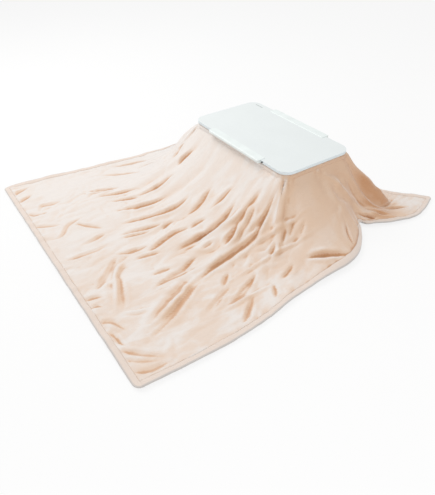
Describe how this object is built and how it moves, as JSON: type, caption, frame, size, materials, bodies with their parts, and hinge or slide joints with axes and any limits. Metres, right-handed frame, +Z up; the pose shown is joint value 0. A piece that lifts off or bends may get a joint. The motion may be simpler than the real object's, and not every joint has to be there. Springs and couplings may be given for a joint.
{
  "type": "kotatsu table",
  "caption": "Low heated kotatsu table: white board lying on a plush futon draped over a folding-leg frame with an electric heater under it.",
  "frame": {"origin": "middle of the futon's footprint, on the floor", "axes": "+Z up; X along the table's long side; -Y towards the side where the futon is drawn out long"},
  "size_m": [1.9242, 2.2003, 0.3825],
  "materials": {
    "white_laminate": "satin white melamine",
    "fibre_board": "sanded wood-fibre board",
    "dark_rubber": "matte",
    "grey_plate": "bare matte plate",
    "peach_plush": "short plush with sheen",
    "hem_plush": "short plush with a stitch line",
    "pale_wood": "clear satin lacquer",
    "corner_plastic": "moulded, fine texture",
    "leg_wood": "white painted wood",
    "bush_plastic": "natural nylon",
    "foot_plastic": "moulded",
    "zinc_steel": "zinc plated",
    "dish_steel": "galvanised sheet",
    "guard_coating": "flocked brown wire",
    "polished_reflector": "polished",
    "quartz": "clear",
    "element_wire": "oxidised wire",
    "ceramic": "unglazed ceramic",
    "felt": "needled mineral felt",
    "gland_rubber": "matte",
    "thermostat_metal": "nickel plated",
    "lead_sleeve": "glass-fibre sleeve"
  },
  "bodies": {
    "frame": {"apron_back": "pale_wood", "apron_front": "pale_wood", "apron_left": "pale_wood", "apron_right": "pale_wood", "bearer_back": "pale_wood", "bearer_front": "pale_wood", "bracket_screws": "zinc_steel", "ceramic_holders": "ceramic", "cord_gland": "gland_rubber", "corner_block_back_left": "corner_plastic", "corner_block_back_right": "corner_plastic", "corner_block_front_left": "corner_plastic", "corner_block_front_right": "corner_plastic", "detent_springs": "zinc_steel", "fold_bracket_back_left": "zinc_steel", "fold_bracket_back_right": "zinc_steel", "fold_bracket_front_left": "zinc_steel", "fold_bracket_front_right": "zinc_steel", "frame_screws": "zinc_steel", "heater_dish": "dish_steel", "heater_guard": "guard_coating", "heater_screws": "zinc_steel", "heating_elements": "element_wire", "insulation_sheet": "felt", "internal_leads": "lead_sleeve", "pivot_pins": "zinc_steel", "quartz_tube_back": "quartz", "quartz_tube_front": "quartz", "reflector": "polished_reflector", "terminal_block": "ceramic", "thermal_fuse": "thermostat_metal", "thermostat": "thermostat_metal", "tube_saddles": "zinc_steel", "wiring_box": "dish_steel", "wiring_cover": "dish_steel"},
    "board": {"board_core": "fibre_board", "board_upper_skin": "white_laminate", "board_lower_skin": "fibre_board", "board_edge_band": "white_laminate", "grip_front": "white_laminate", "grip_back": "white_laminate", "edge_stops": "dark_rubber", "inlay_plate": "grey_plate"},
    "cover": {"futon": "peach_plush", "futon_hem": "hem_plush"},
    "leg_front_left": {"leg_front_left": "leg_wood", "leg_bush_front_left": "bush_plastic", "leg_foot_front_left": "foot_plastic"},
    "leg_front_right": {"leg_front_right": "leg_wood", "leg_bush_front_right": "bush_plastic", "leg_foot_front_right": "foot_plastic"},
    "leg_back_left": {"leg_back_left": "leg_wood", "leg_bush_back_left": "bush_plastic", "leg_foot_back_left": "foot_plastic"},
    "leg_back_right": {"leg_back_right": "leg_wood", "leg_bush_back_right": "bush_plastic", "leg_foot_back_right": "foot_plastic"}
  },
  "joints": [
    {"name": "cover_lift", "type": "slide", "parent": "frame", "child": "cover", "axis": [0, 0, 1], "range_m": [0, 0.36]},
    {"name": "board_lift", "type": "slide", "parent": "cover", "child": "board", "axis": [0, 0, 1], "range_m": [0, 0.2]},
    {"name": "leg_fold_front_left", "type": "hinge", "parent": "frame", "child": "leg_front_left", "pos_m": [-0.376, 0.14, 0.333], "axis": [0, -1, 0], "range_deg": [0, 90]},
    {"name": "leg_fold_front_right", "type": "hinge", "parent": "frame", "child": "leg_front_right", "pos_m": [0.376, 0.14, 0.333], "axis": [0, 1, 0], "range_deg": [0, 90]},
    {"name": "leg_fold_back_left", "type": "hinge", "parent": "frame", "child": "leg_back_left", "pos_m": [-0.376, 0.51, 0.333], "axis": [0, -1, 0], "range_deg": [0, 90]},
    {"name": "leg_fold_back_right", "type": "hinge", "parent": "frame", "child": "leg_back_right", "pos_m": [0.376, 0.51, 0.333], "axis": [0, 1, 0], "range_deg": [0, 90]}
  ]
}
